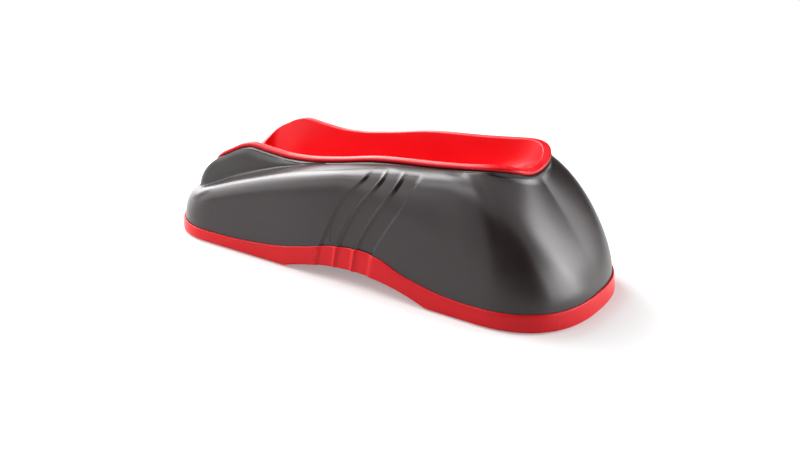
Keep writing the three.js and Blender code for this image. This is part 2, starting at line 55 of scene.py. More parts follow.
back = Vector((
    math.sin(camera_azimuth) * math.cos(camera_elevation),
    -math.cos(camera_azimuth) * math.cos(camera_elevation),
    math.sin(camera_elevation),
))
level_right = Vector((math.cos(camera_azimuth), math.sin(camera_azimuth), 0))
level_up = back.cross(level_right)
right = level_right * math.cos(camera_roll) + level_up * math.sin(camera_roll)
up = level_up * math.cos(camera_roll) - level_right * math.sin(camera_roll)

lens = bpy.data.cameras.new("photo_lens")
lens.sensor_width = sensor_width
lens.lens = focal_pixels * sensor_width / image_width
camera = bpy.data.objects.new("photo_camera", lens)
axes = Matrix((right, up, back)).transposed().to_4x4()
camera.matrix_world = Matrix.Translation(camera_place) @ axes
bpy.context.scene.collection.objects.link(camera)
bpy.context.scene.camera = camera
print("lens, mm:", round(lens.lens, 1))

# %% [markdown]
# The block is a set of plastic mouldings whose walls lean, round over and sweep, so the
# whole form hangs on two shares: s runs round half the outline, from the low end to the
# domed end, and t runs up the wall from the base band to the upper edge. These sizes are at
# full scale, in metres, and every surface below is worked out from them.

# %% Sizes of the block
half_length = 0.337 / 2
half_width = 0.158 / 2
rim_top = 0.1005

shell_wall = 0.0028
cradle_wall = 0.0026
fit_gap = 0.0003

nose_share = 0.2
side_share = 0.45
dome_share = 0.72

base_outline = {
    "nose": half_length, "dome": half_length, "half": half_width,
    "nose_long": 0.046, "dome_long": 0.067, "nose_full": 0.766, "dome_full": 0.758,
}
rim_outline = {
    "nose": half_length - 0.0135, "dome": half_length - 0.0594, "half": 0.041,
    "nose_long": 0.022, "dome_long": 0.0386, "nose_full": 0.766, "dome_full": 0.793,
}
spine_outline = {
    "nose": rim_outline["nose"] + 0.0078, "dome": rim_outline["dome"] + 0.0034,
    "half": rim_outline["half"] + 0.0046,
    "nose_long": 0.016, "dome_long": 0.042, "nose_full": 0.841, "dome_full": 0.704,
}

seat_radius = 0.3355
seat_centre_x = -0.098
seat_low = 0.028

lip_height = 0.0032
lip_edge = 0.0008
channel_inset = 0.0058
channel_top = fit_gap + lip_height - lip_edge

band_proud = 0.0013
band_lap = 0.0025
pad_proud = 0.0008
arch_height = 0.0104
arch_start = -0.32 * half_length
arch_end = 0.392 * half_length

# %% Helpers for shares, heights and outlines
def mix(start, end, share):
    return start + (end - start) * share


def smooth(value, start, end):
    u = np.clip((value - start) / (end - start), 0, 1)
    return u * u * (3 - 2 * u)


def fall_at(out_share, half_share):
    return 1 - out_share ** (math.log(1 - half_share) / math.log(0.5))


def along(s, values):
    return np.interp(s, [0, nose_share, side_share, dome_share, 1], values)


def height_curve(shares):
    places = np.array([x for x, z in shares]) * half_length
    heights = np.array([z for x, z in shares]) * rim_top
    steps = np.diff(heights) / np.diff(places)
    both = steps[:-1] * steps[1:]
    inner = np.where(both > 0, 2 * both / (steps[:-1] + steps[1:]), 0)
    slopes = np.concatenate([steps[:1], inner, steps[-1:]])

    def height(place):
        x = np.clip(place, places[0], places[-1])
        i = np.clip(np.searchsorted(places, x) - 1, 0, len(places) - 2)
        width = places[i + 1] - places[i]
        u = (x - places[i]) / width
        leave = u * (1 - u) ** 2 * width * slopes[i]
        arrive = u * u * (u - 1) * width * slopes[i + 1]
        return mix(heights[i], heights[i + 1], smooth(u, 0, 1)) + leave + arrive

    return height


def outline(s, form, inset=0.0):
    low, high = inset - form["nose"], form["dome"] - inset
    low_long, high_long = form["nose_long"] - inset, form["dome_long"] - inset
    wide = form["half"] - inset
    nose_power = 2 * math.log(form["nose_full"]) / math.log(0.5)
    dome_power = 2 * math.log(form["dome_full"]) / math.log(0.5)
    nose_turn = np.clip(s / nose_share, 0, 1) * math.pi / 2
    dome_turn = np.clip((s - dome_share) / (1 - dome_share), 0, 1) * math.pi / 2
    nose_in = np.maximum(np.cos(nose_turn), 0) ** nose_power
    dome_in = np.sin(dome_turn) ** dome_power
    run = np.clip((s - nose_share) / (dome_share - nose_share), 0, 1)
    x = mix(low + low_long, high - high_long, run)
    x = np.where(s < nose_share, low + low_long * (1 - nose_in), x)
    x = np.where(s > dome_share, high - high_long * (1 - dome_in), x)
    nose_out = np.sin(nose_turn) ** nose_power
    dome_out = np.maximum(np.cos(dome_turn), 0) ** dome_power
    y = -wide * np.where(s < nose_share, nose_out, np.where(s > dome_share, dome_out, 1))
    return x, y


def point(x, y, z):
    return np.stack(np.broadcast_arrays(x, y, z), axis=-1).astype(float)


ridge_curve = height_curve([
    (-1, 0.257), (-0.89, 0.314), (-0.712, 0.463), (-0.475, 0.617), (-0.237, 0.736),
    (0, 0.831), (0.237, 0.905), (0.475, 0.935), (0.712, 0.799),
])
rim_curve = height_curve([
    (-0.95, 0.438), (-0.795, 0.582), (-0.694, 0.68), (-0.653, 0.697), (-0.576, 0.69),
    (-0.475, 0.684), (-0.368, 0.7), (-0.226, 0.749), (0, 0.846), (0.285, 0.919),
    (0.528, 0.994), (0.623, 1.028),
])
band_top = height_curve([
    (-1, 0.0945), (-0.653, 0.0995), (-0.386, 0.137), (-0.237, 0.191), (-0.071, 0.259),
    (0.047, 0.278), (0.142, 0.262), (0.237, 0.207), (0.32, 0.173), (0.48, 0.134),
    (0.56, 0.128), (1, 0.144),
])


def band_bottom(x):
    u = np.clip((x - arch_start) / (arch_end - arch_start), 0, 1)
    return pad_proud + arch_height * 4 * u * (1 - u)


def seat_height(x):
    return seat_low + seat_radius - np.sqrt(seat_radius ** 2 - (x - seat_centre_x) ** 2)


print("upper edge's peak, mm:", round(float(rim_curve(-0.653 * half_length)) * 1000, 1))

# %% [markdown]
# Four lines carry the shell's profile: its foot on the band, the ridge where the wall turns
# into the shoulder, the valley at the foot of the raised spine, and the rim that the red lip
# covers. Rounded corners between them could be made with a Bevel modifier, but the rounding
# grows from 16 mm along the side to 69 mm over the dome, so each is a Bezier bend whose
# legs follow the outline.

# %% Lines of the shell
wall_lean = [0.6, 0.6, 8.5, 8.7, 9.8]
corner_round = [0.0185, 0.0185, 0.016, 0.0545, 0.0686]
corner_low_limit = 0.9
corner_high_limit = 0.915
valley_round = 0.003
valley_widen = 2
valley_widen_at = (0.5, 0.7)
valley_limit = 0.5
crease_rise_low = 0.024
crease_rise_high = 0.051
crease_rise_at = (-0.9 * half_length, -0.3 * half_length)
crease_fade_at = (0, 0.35 * half_length)
crease_fade_share = 0.9
swell_out = 0.06
swell_up = 0.73
ridge_nose_fall = 0.057 * rim_top
ridge_dome_fall = 0.435 * rim_top
ridge_half_fall = 0.831
rim_half_fall = 0.726
wall_end, ridge_end, shoulder_end, crease_end = 0.22, 0.57, 0.7, 0.85


def wall_point(s, z, inset=0.0):
    lean = np.tan(np.radians(along(s, wall_lean)))
    x, y = outline(s, base_outline, inset + lean * z)
    return point(x, y, z)


def rim_height(s):
    x, y = outline(s, rim_outline)
    low_end = outline(np.array(0.0), rim_outline, channel_inset)[0]
    high_end = outline(np.array(1.0), rim_outline, channel_inset)[0]
    end_height = seat_height(np.where(x < 0, low_end, high_end)) - lip_height + lip_edge
    return mix(rim_curve(x), end_height, fall_at(-y / rim_outline["half"], rim_half_fall))


def rim_point(s, inset=0.0, rise=0.0):
    x, y = outline(s, rim_outline, inset)
    return point(x, y, rim_height(s) + rise)


def ridge_height(x, y, fall):
    return ridge_curve(x) - fall * fall_at(-y / half_width, ridge_half_fall)


def ridge_point(s, inset=0.0):
    x, y = outline(s, base_outline)
    z = ridge_height(x, y, np.where(x < 0, ridge_nose_fall, ridge_dome_fall))
    return wall_point(s, z, band_proud + inset) - [0, 0, inset]


def valley_point(s, inset=0.0):
    x, y = outline(s, spine_outline, inset)
    rim = rim_height(s)
    rise = mix(crease_rise_low, crease_rise_high, smooth(x, *crease_rise_at)) * rim_top
    crease = np.minimum(ridge_height(x, y, ridge_nose_fall) + rise, rim - lip_edge)
    ridge = np.minimum(ridge_point(s)[..., 2], rim)
    z = mix(crease, mix(ridge, rim, crease_fade_share), smooth(x, *crease_fade_at))
    return point(x, y, z - inset)


def leg_point(corner, to, reach, limit):
    long = np.linalg.norm(to - corner, axis=-1)
    return mix(corner, to, np.minimum(reach / long, limit)[..., None])


def bend(start, corner, end, u):
    return mix(mix(start, corner, u), mix(corner, end, u), u)


def profile_point(s, t, inset=0.0):
    foot = wall_point(s, band_top(outline(s, base_outline)[0]), band_proud + inset)
    ridge, valley, rim = ridge_point(s, inset), valley_point(s, inset), rim_point(s, inset)
    rounding = along(s, corner_round)
    soft = valley_round * (1 + valley_widen * smooth(s, *valley_widen_at))
    lower = leg_point(ridge, foot, rounding, corner_low_limit)
    upper = leg_point(ridge, valley, rounding, corner_high_limit)
    before = leg_point(valley, upper, soft, valley_limit)
    after = leg_point(valley, rim, soft, valley_limit)
    swell = mix(after, rim, swell_out)
    swell[..., 2] = mix(after[..., 2], rim[..., 2], swell_up)

    def part(start, end):
        return np.clip((t - start) / (end - start), 0, 1)[..., None]

    level = t[..., None]
    return np.select(
        [level <= wall_end, level <= ridge_end, level <= shoulder_end, level <= crease_end],
        [
            mix(foot, lower, part(0, wall_end)),
            bend(lower, ridge, upper, part(wall_end, ridge_end)),
            mix(upper, before, part(ridge_end, shoulder_end)),
            bend(before, valley, after, part(shoulder_end, crease_end)),
        ],
        bend(after, swell, rim, part(crease_end, 1)),
    )


middle_ridge = float(ridge_curve(0.0)) * 1000
print("ridge above the floor in mid-block, mm:", round(middle_ridge, 1))

# %% [markdown]
# Three shallow flutes are pressed into each side and sweep towards the high end as they
# climb. They could be cut with a Boolean, but their arrises would then break the mesh's
# rows. Here the stations themselves lean over with height, and the wall is pushed in
# between them, so that every arris follows one line of the mesh and stays crisp.

# %% Flutes
flute_count = 3
flute_depth = 0.0017
flute_start = 0.422
flute_pitch = 0.035
flute_end = flute_start + flute_count * flute_pitch
flute_low_edge = 0.18
flute_high_edge = 0.17
flute_fade = (0.38, 0.52)
sweep_foot = 0.115
sweep_growth = 0.16
sweep_fade = (0.6, 0.95)
tangent_reach = 0.01
tiny = 1e-9


def swept_share(s, t):
    climb = np.minimum(t, ridge_end)
    sweep = (sweep_foot + sweep_growth * climb) * climb * (1 - smooth(t, ridge_end, 1))
    return s + sweep * smooth(s, nose_share, flute_start) * (1 - smooth(s, *sweep_fade))


def flute_depth_at(s, t):
    place = (s - flute_start) / flute_pitch
    across = place - np.floor(place)
    edges = np.minimum(across / flute_low_edge, (1 - across) / flute_high_edge)
    inside = (place > 0) & (place < flute_count)
    depth = np.where(inside, flute_depth * np.minimum(1, edges), 0)
    return depth * (1 - smooth(t, *flute_fade))


def body_point(s, t, inset=0.0, fluted=False):
    place = swept_share(s, t)
    points = profile_point(place, t, inset)
    if fluted:
        tangent = profile_point(place, np.minimum(t + tangent_reach, 1), inset)
        tangent = tangent - profile_point(place, np.maximum(t - tangent_reach, 0), inset)
        inward = np.stack([0 * t, tangent[..., 2], -tangent[..., 1]], axis=-1)
        inward /= np.maximum(np.linalg.norm(inward, axis=-1, keepdims=True), tiny)
        points = points + inward * flute_depth_at(s, t)[..., None]
    return points


print("flutes on a side:", flute_count, "depth, mm:", flute_depth * 1000)

# %% [markdown]
# Stations are set close together round the two ends and in the flutes, and wider along the
# plain sides, which saves triangles where nothing bends.

# %% Stations round half the outline
def spaced(start, end, steps):
    return np.linspace(start, end, steps, endpoint=False)


flute_parts = np.array([
    0, 0.045, 0.09, 0.135, 0.18, 0.3, 0.45, 0.6, 0.73, 0.83, 0.87, 0.915, 0.96,
])
flute_stations = np.concatenate([
    flute_start + (i + flute_parts) * flute_pitch for i in range(flute_count)
])
stations = np.concatenate([
    spaced(0, nose_share, 60), spaced(nose_share, flute_start, 36), flute_stations,
    spaced(flute_end, dome_share, 30), spaced(dome_share, 1, 84), [1.0],
])
print("stations on half the outline:", len(stations))

# %% [markdown]
# Each moulding starts as a grid primitive. A grid has one vertex for every station and row,
# and each vertex is carried to its place on the real surface. The far side is the near
# side's mirror image, so a Mirror modifier makes it, and merging the doubles closes the
# skin into one wall with an inside and an outside.

# %% Helpers that make a moulding from a grid
merge_distance = 1e-6


def deselect():
    if bpy.context.mode != "OBJECT":
        bpy.ops.object.mode_set(mode="OBJECT")
    bpy.ops.object.select_all(action="DESELECT")


def choose(piece):
    deselect()
    piece.select_set(True)
    bpy.context.view_layer.objects.active = piece


def tidy_mesh(piece):
    choose(piece)
    bpy.ops.object.mode_set(mode="EDIT")
    bpy.ops.mesh.select_all(action="SELECT")
    bpy.ops.mesh.remove_doubles(threshold=merge_distance)
    bpy.ops.mesh.dissolve_degenerate(threshold=merge_distance)
    bpy.ops.mesh.normals_make_consistent(inside=False)
    bpy.ops.object.mode_set(mode="OBJECT")


def moulding(name, rows):
    """A closed skin through rows of points on the near side, mirrored to the far side."""
    rows = np.array(rows, float)
    rows[:, 0, 1] = 0
    rows[:, -1, 1] = 0
    height, width = rows.shape[:2]
    deselect()
    bpy.ops.mesh.primitive_grid_add(x_subdivisions=width - 1, y_subdivisions=height - 1, size=2)
    piece = bpy.context.object
    piece.name = name
    piece.data.name = name
    flat = np.zeros(len(piece.data.vertices) * 3)
    piece.data.vertices.foreach_get("co", flat)
    flat = flat.reshape(-1, 3)
    columns = np.rint((flat[:, 0] + 1) / 2 * (width - 1)).astype(int)
    levels = np.rint((flat[:, 1] + 1) / 2 * (height - 1)).astype(int)
    piece.data.vertices.foreach_set("co", rows[levels, columns].ravel())
    mirror = piece.modifiers.new("far_side", "MIRROR")
    mirror.use_axis = (False, True, False)
    mirror.use_mirror_merge = True
    mirror.merge_threshold = merge_distance
    choose(piece)
    bpy.ops.object.modifier_apply(modifier=mirror.name)
    tidy_mesh(piece)
    return piece


def centre_line(row):
    line = np.array(row)
    line[:, 1] = 0
    return line


def finish_piece(piece, material, slot, sharp_degrees, *nodes):
    choose(piece)
    bpy.ops.object.shade_smooth_by_angle(angle=math.radians(sharp_degrees))
    piece.data.materials.clear()
    piece.data.materials.append(material)
    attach(piece, "root")
    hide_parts(*nodes)
    triangles = sum(len(face.vertices) - 2 for face in piece.data.polygons)
    print(piece.name, "triangles:", triangles)


# %% [markdown]
# Both plastics are satin mouldings. The mould's spark-eroded skin leaves a fine grain, and
# the colour drifts a little over a large wall. The grain could be an image, but noise on
# object coordinates has no seams and keeps its real scale on every piece, so one node group
# makes it for all of them.

# %% Shared surface effects
def new_group(name, inputs, outputs):
    group = bpy.data.node_groups.new(name, "ShaderNodeTree")
    for title, kind, value in inputs:
        socket = group.interface.new_socket(title, in_out="INPUT", socket_type=kind)
        socket.default_value = value
    for title, kind in outputs:
        group.interface.new_socket(title, in_out="OUTPUT", socket_type=kind)
    return group, group.nodes.new("NodeGroupInput"), group.nodes.new("NodeGroupOutput")


def noise(tree, scale, detail, rough):
    node = tree.nodes.new("ShaderNodeTexNoise")
    node.inputs["Scale"].default_value = scale
    node.inputs["Detail"].default_value = detail
    node.inputs["Roughness"].default_value = rough
    return node


def sums(tree, operation, first, second):
    node = tree.nodes.new("ShaderNodeMath")
    node.operation = operation
    for socket, value in zip(node.inputs, (first, second)):
        if isinstance(value, (int, float)):
            socket.default_value = value
        else:
            tree.links.new(value, socket)
    return node.outputs[0]


def ramp(tree, value, low, high, low_to=0.0, high_to=1.0):
    node = tree.nodes.new("ShaderNodeMapRange")
    tree.links.new(value, node.inputs["Value"])
    node.inputs["From Min"].default_value = low
    node.inputs["From Max"].default_value = high
    node.inputs["To Min"].default_value = low_to
    node.inputs["To Max"].default_value = high_to
    return node.outputs[0]


def build_grain():
    group, source, result = new_group(
        "moulded_grain",
        [("Grain Scale", "NodeSocketFloat", 1800.0)],
        [("Height", "NodeSocketFloat"), ("Drift", "NodeSocketFloat")],
    )
    place = group.nodes.new("ShaderNodeTexCoord").outputs["Object"]
    pits = group.nodes.new("ShaderNodeTexVoronoi")
    pits.feature = "SMOOTH_F1"
    fine = noise(group, scale=1.0, detail=3.0, rough=0.6)
    drift = noise(group, scale=22.0, detail=3.0, rough=0.55)
    for node in (pits, fine, drift):
        group.links.new(place, node.inputs["Vector"])
    for node in (pits, fine):
        group.links.new(source.outputs["Grain Scale"], node.inputs["Scale"])
    height = sums(group, "ADD", pits.outputs["Distance"], fine.outputs["Fac"])
    group.links.new(height, result.inputs["Height"])
    group.links.new(ramp(group, drift.outputs["Fac"], 0.3, 0.7), result.inputs["Drift"])
    return group


def build_edge_rub():
    group, source, result = new_group(
        "edge_rub",
        [("Start", "NodeSocketFloat", 0.53), ("Full", "NodeSocketFloat", 0.6)],
        [("Mask", "NodeSocketFloat")],
    )
    place = group.nodes.new("ShaderNodeTexCoord").outputs["Object"]
    edges = group.nodes.new("ShaderNodeNewGeometry").outputs["Pointiness"]
    breakup = noise(group, scale=160.0, detail=3.0, rough=0.6)
    group.links.new(place, breakup.inputs["Vector"])
    band = group.nodes.new("ShaderNodeMapRange")
    group.links.new(edges, band.inputs["Value"])
    group.links.new(source.outputs["Start"], band.inputs["From Min"])
    group.links.new(source.outputs["Full"], band.inputs["From Max"])
    patches = ramp(group, breakup.outputs["Fac"], 0.35, 0.65, 0.35, 1.0)
    group.links.new(sums(group, "MULTIPLY", band.outputs[0], patches), result.inputs["Mask"])
    return group


moulded_grain = build_grain()
edge_rub = build_edge_rub()

# %% [markdown]
# Each plastic blends two close tones by the drift and is a little paler where its edges are
# rubbed. One flat colour would be quicker, but it looks like a drawing under soft light. One
# function makes all three, and each gets its own colours, roughness, grain and shine.

# %% Finishes
def blended(tree, mask, first, second):
    node = tree.nodes.new("ShaderNodeMix")
    node.data_type = "RGBA"
    tree.links.new(mask, node.inputs["Factor"])
    for name, value in (("A", first), ("B", second)):
        socket = [s for s in node.inputs if s.name == name and s.type == "RGBA"][0]
        if isinstance(value, tuple):
            socket.default_value = (*value, 1)
        else:
            tree.links.new(value, socket)
    return [s for s in node.outputs if s.type == "RGBA"][0]


def new_material(name):
    material = bpy.data.materials.new(name)
    material.use_nodes = True
    return material, material.node_tree, material.node_tree.nodes["Principled BSDF"]


def grained(tree, shader, scale, height, strength):
    """The grain's bump on the shader's normal. Gives back the group's node."""
    grain = tree.nodes.new("ShaderNodeGroup")
    grain.node_tree = moulded_grain
    grain.inputs["Grain Scale"].default_value = scale
    bump = tree.nodes.new("ShaderNodeBump")
    bump.inputs["Strength"].default_value = strength
    bump.inputs["Distance"].default_value = height
    tree.links.new(grain.outputs["Height"], bump.inputs["Height"])
    tree.links.new(bump.outputs["Normal"], shader.inputs["Normal"])
    return grain


def moulded_plastic(name, deep, light, rubbed, roughness, grain_scale, grain_height, shine=0.5):
    material, tree, shader = new_material(name)
    grain = grained(tree, shader, grain_scale, grain_height, strength=0.3)
    rub = tree.nodes.new("ShaderNodeGroup")
    rub.node_tree = edge_rub
    drifted = blended(tree, grain.outputs["Drift"], deep, light)
    worn = blended(tree, rub.outputs["Mask"], drifted, rubbed)
    tree.links.new(worn, shader.inputs["Base Color"])
    rough = ramp(tree, grain.outputs["Drift"], 0, 1, *roughness)
    tree.links.new(rough, shader.inputs["Roughness"])
    shader.inputs["Specular IOR Level"].default_value = shine
    shader.inputs["IOR"].default_value = 1.5
    return material


anthracite = moulded_plastic(
    "anthracite_plastic", (0.022, 0.014, 0.015), (0.030, 0.021, 0.022), (0.06, 0.053, 0.053),
    (0.27, 0.33), 2200, 0.00002,
)
red = moulded_plastic(
    "red_plastic", (0.73, 0.006, 0.012), (0.78, 0.009, 0.016), (0.83, 0.04, 0.05),
    (0.27, 0.33), 2600, 0.000015, shine=0.25,
)
rubber = moulded_plastic(
    "black_rubber", (0.010, 0.010, 0.011), (0.018, 0.018, 0.019), (0.05, 0.05, 0.05),
    (0.72, 0.85), 1500, 0.00006,
)
print("plastics and rubber:", anthracite.name, red.name, rubber.name)

# %% [markdown]
# Zinc plating on a steel screw is bright but cloudy: the plating's crystals scatter the
# light in patches. One shiny grey would mirror the room too plainly, so noise changes both
# the roughness and the colour over a millimetre or so.

# %% Zinc plating
def plated_steel(name, dark, bright, roughness):
    material, tree, shader = new_material(name)
    shader.inputs["Metallic"].default_value = 1.0
    grained(tree, shader, scale=4200, height=0.00001, strength=0.4)
    clouds = noise(tree, scale=900.0, detail=4.0, rough=0.65)
    place = tree.nodes.new("ShaderNodeTexCoord").outputs["Object"]
    tree.links.new(place, clouds.inputs["Vector"])
    patches = ramp(tree, clouds.outputs["Fac"], 0.35, 0.65)
    tree.links.new(blended(tree, patches, dark, bright), shader.inputs["Base Color"])
    tree.links.new(ramp(tree, patches, 0, 1, *roughness), shader.inputs["Roughness"])
    return material


zinc = plated_steel("zinc_plating", (0.42, 0.43, 0.45), (0.62, 0.63, 0.65), (0.42, 0.28))
print("plating:", zinc.name)

# %% [markdown]
# The outer shell is one thin wall. Its rows climb the outside from the hidden foot behind
# the band to the upper edge, cross the edge, and come down the inside. Round the spine the
# edge has a small bevelled bead, which shows as a light line under the red lip. It fades
# where the spine's wall runs out.

# %% Outer shell
def shell_foot(s, drop, inset, fluted):
    x = outline(s, base_outline)[0]
    row = wall_point(s, band_top(x) - drop, band_proud + inset)
    if fluted:
        row[:, 1] += flute_depth_at(s, 0 * s)
    return row


outer_levels = np.concatenate([
    spaced(0, wall_end, 8), spaced(wall_end, ridge_end, 24), spaced(ridge_end, shoulder_end, 6),
    spaced(shoulder_end, crease_end, 12), np.linspace(crease_end, 1, 12),
])
inner_levels = np.array([0, 0.11, 0.22, 0.3, 0.38, 0.47, 0.57, 0.7, 0.76, 0.8, 0.85, 0.93, 1])

bead_out = 0.0012
bead_drop = 0.00085
bead_edge = 0.0003
bead_back = 0.0003
bead_wall = (0.002, 0.006)   # the bead grows where the spine's wall is this high
bead_least = 0.08
wall_steps = 80
outward_probe = 0.001


def drop_on_wall(s, drop):
    """The point of the spine's wall that lies this far below the upper edge."""
    edge = rim_point(s)
    levels = np.linspace(crease_end, 1, wall_steps)
    wall = np.array([body_point(s, 0 * s + t) for t in levels])
    below = edge[:, 2] - wall[:, :, 2]
    found = [
        [np.interp(-drop[i], -below[:, i], wall[:, i, axis]) for axis in range(3)]
        for i in range(len(s))
    ]
    return np.array(found)


edge_line = rim_point(stations)
outward = rim_point(stations, -outward_probe) - edge_line
outward[:, 2] = 0
outward /= np.linalg.norm(outward, axis=1, keepdims=True)
bead_size = smooth(edge_line[:, 2] - valley_point(stations)[:, 2], *bead_wall)[:, None]
bead_size = np.where(bead_size < bead_least, 0, bead_size)
lowest = (bead_drop + bead_edge + bead_back) * bead_size[:, 0]
bead_foot = np.where(bead_size > 0, drop_on_wall(stations, lowest), edge_line)
bead_corner = edge_line + bead_size * (outward * bead_out - [0, 0, bead_drop])
bead_under = bead_corner - bead_size * [0, 0, bead_edge]

outside = [body_point(stations, 0 * stations + t, 0.0, True) for t in outer_levels[:-1]]
for level, row in zip(outer_levels, outside):
    covered = (level > crease_end) & (lowest > 0) & (edge_line[:, 2] - row[:, 2] < lowest)
    row[covered] = bead_foot[covered]
outside += [bead_foot, bead_under, bead_corner, edge_line]
inside = [body_point(stations, 0 * stations + t, shell_wall) for t in inner_levels[::-1]]
shell_rows = [
    shell_foot(stations, band_lap - fit_gap, 0.0, True), *outside,
    *inside, shell_foot(stations, band_lap - fit_gap, shell_wall, False),
]
shell = moulding("outer_shell_moulding", [*shell_rows, shell_rows[0]])
print("rows in the shell's skin:", len(shell_rows))

# %% [markdown]
# Ribs, bosses, columns and screw cups stiffen and join the mouldings underneath. They could
# be extruded out of the walls, but the walls' meshes follow the sweep and not the ribs. So
# each is a bevelled primitive of its own, and a Boolean modifier joins it to the wall or
# cuts a bore. The Manifold solver is used, because it is quick on a fine mesh and a closed
# skin stays closed.

# %% Helpers for ribs, bosses and bores
round_sides = 48
soft_edge = 0.0003
cut_over = 0.006
outline_steps = 4001


def apply_all(piece):
    choose(piece)
    for modifier in list(piece.modifiers):
        bpy.ops.object.modifier_apply(modifier=modifier.name)


def soften(piece, width, segments=2, degrees=40):
    bevel = piece.modifiers.new("soft_edges", "BEVEL")
    bevel.width = width
    bevel.segments = segments
    bevel.limit_method = "ANGLE"
    bevel.angle_limit = math.radians(degrees)
    apply_all(piece)
    return piece


def box(x, y, z, soft=soft_edge):
    low, high = Vector((x[0], y[0], z[0])), Vector((x[1], y[1], z[1]))
    deselect()
    bpy.ops.mesh.primitive_cube_add(size=1, location=(low + high) / 2, scale=high - low)
    bpy.ops.object.transform_apply(location=True, rotation=True, scale=True)
    piece = bpy.context.object
    return soften(piece, soft) if soft else piece


def post(spot, radius, low, high, top_radius=None, soft=0.0):
    deselect()
    bpy.ops.mesh.primitive_cone_add(
        vertices=round_sides, radius1=radius, radius2=top_radius or radius, depth=high - low,
        location=(*spot, (low + high) / 2),
    )
    bpy.ops.object.transform_apply(location=True, rotation=True, scale=True)
    piece = bpy.context.object
    return soften(piece, soft) if soft else piece


def boolean(body, tool, operation):
    modifier = body.modifiers.new("cut_or_join", "BOOLEAN")
    modifier.object = tool
    modifier.operation = operation
    modifier.solver = "MANIFOLD"
    apply_all(body)
    bpy.data.objects.remove(tool)
    return body


def united(pieces):
    body = pieces[0]
    for piece in pieces[1:]:
        boolean(body, piece, "UNION")
    return body


def pair_at(x, inset):
    line_x, line_y = outline(np.linspace(0, 1, outline_steps), base_outline, inset)
    y = float(np.interp(x, line_x, line_y))
    return [(x, y), (x, -y)]


def lengthwise(*shares):
    return [share * half_length for share in shares]


def closed_volume(name, rows):
    return moulding(name, [centre_line(rows[0]), *rows, centre_line(rows[-1])])

# %% [markdown]
# The shell's ribs are plain boxes that reach too far. A volume is closed along the middle of
# the shell's wall, and only what lies inside it is kept, so each rib ends in the wall.

# %% Ribs, webs and screw bosses in the shell
flange_thick = 0.0032
cup_rise = 0.0033
cup_top = pad_proud + flange_thick + cup_rise
shank_radius = 0.00145
pilot_depth = 0.014
screw_inset = 0.012
screw_x = lengthwise(-0.819, -0.451, 0.56, 0.807)
screw_spots = [spot for x in screw_x for spot in pair_at(x, screw_inset)]
column_x = lengthwise(-0.617, 0.451)
column_y = 0.017
column_spots = [(x, y) for x in column_x for y in (-column_y, column_y)]
shell_rib_x = lengthwise(-0.7, -0.534, -0.119, 0.237, 0.392, 0.665)
shell_rib_reach = 0.047
rib_thick = 0.002
rib_room = 0.0025
boss_radius = 0.0042
boss_height = 0.03
boss_top = cup_top + boss_height


def thickness(middle, wide):
    return (middle - wide / 2, middle + wide / 2)


def side_rib(x, y, top):
    low = float(band_top(x)) + rib_room
    return box(thickness(x, rib_thick), sorted(y), (low, top))


def pilot_bore(spot):
    return post(spot, shank_radius + fit_gap, cup_top - cut_over, cup_top + pilot_depth)


core_rows = [
    shell_foot(stations, band_lap + cut_over, shell_wall / 2, False),
    *[body_point(stations, 0 * stations + t, shell_wall / 2) for t in inner_levels],
]
inner_forms = []
for spot in screw_spots:
    wall = math.copysign(half_width, spot[1])
    boss = post(spot, boss_radius, cup_top + fit_gap, boss_top)
    inner_forms.append(boolean(boss, side_rib(spot[0], (spot[1], wall), boss_top), "UNION"))
for x in shell_rib_x:
    for side in (-1, 1):
        inner_forms.append(side_rib(x, (side * shell_rib_reach, side * half_width), rim_top))
inner_forms = boolean(united(inner_forms), closed_volume("shell_core", core_rows), "INTERSECT")
boolean(shell, inner_forms, "UNION")
for spot in screw_spots:
    boolean(shell, pilot_bore(spot), "DIFFERENCE")
finish_piece(shell, anthracite, "anthracite_shell", 22, "outer_shell")

# %% [markdown]
# The liner is a trough with a rolled lip. The lip could be a bevelled curve laid along the
# edge, but such a lip is moulded in one with its trough, so its rounded section is part of
# the same rows.

# %% Liner of the channel
lip_round = 0.0012
lip_overhang = 0.0002
trough_shares = [
    (0.11, 0), (0.22, 0), (0.3, 0.01), (0.36, 0.022), (0.5, 0.026), (0.66, 0.03), (0.75, 0.05),
    (0.82, 0.09), (0.865, 0.15), (0.9, 0.25), (0.93, 0.42), (0.955, 0.62), (0.98, 0.82),
]   # shares of the channel's half width and of its depth
trough_nose_inset = 0.005
channel_half = rim_outline["half"] - channel_inset


def trough_row(s, width_share, depth_share, grow):
    narrow = channel_half * (1 - width_share)
    shorten = trough_nose_inset * (1 - width_share)
    form = dict(
        rim_outline, nose=rim_outline["nose"] - shorten, dome=rim_outline["dome"] - shorten,
        half=rim_outline["half"] - narrow,
    )
    x, y = outline(s, form, channel_inset - grow)
    edge_x = outline(s, rim_outline, channel_inset)[0]
    depth = rim_height(s) + channel_top - seat_height(edge_x)
    return point(x, y, seat_height(x) + np.maximum(depth, lip_edge) * depth_share - grow)


lip_section = [(channel_inset - cradle_wall, 0)]
lip_section += [
    (lip_round * (1 - math.cos(turn)) - lip_overhang, lip_height / 2 * (1 + math.sin(turn)))
    for turn in np.linspace(-math.pi / 2, math.pi / 2, 11)
]
lip_section += [
    (channel_inset - lip_edge * (1 - math.sin(turn)), lip_height - lip_edge * (1 - math.cos(turn)))
    for turn in np.linspace(0, math.pi / 2, 6)
]
under_rows = [trough_row(stations, w, d, cradle_wall) for w, d in trough_shares]
lip_rows = [rim_point(stations, inset, fit_gap + z) for inset, z in lip_section]
floor_rows = [trough_row(stations, w, d, 0.0) for w, d in trough_shares[::-1]]
liner = closed_volume("cradle_liner_moulding", [*under_rows, *lip_rows, *floor_rows])
print("rows in the liner's skin:", len(under_rows) + len(lip_rows) + len(floor_rows))

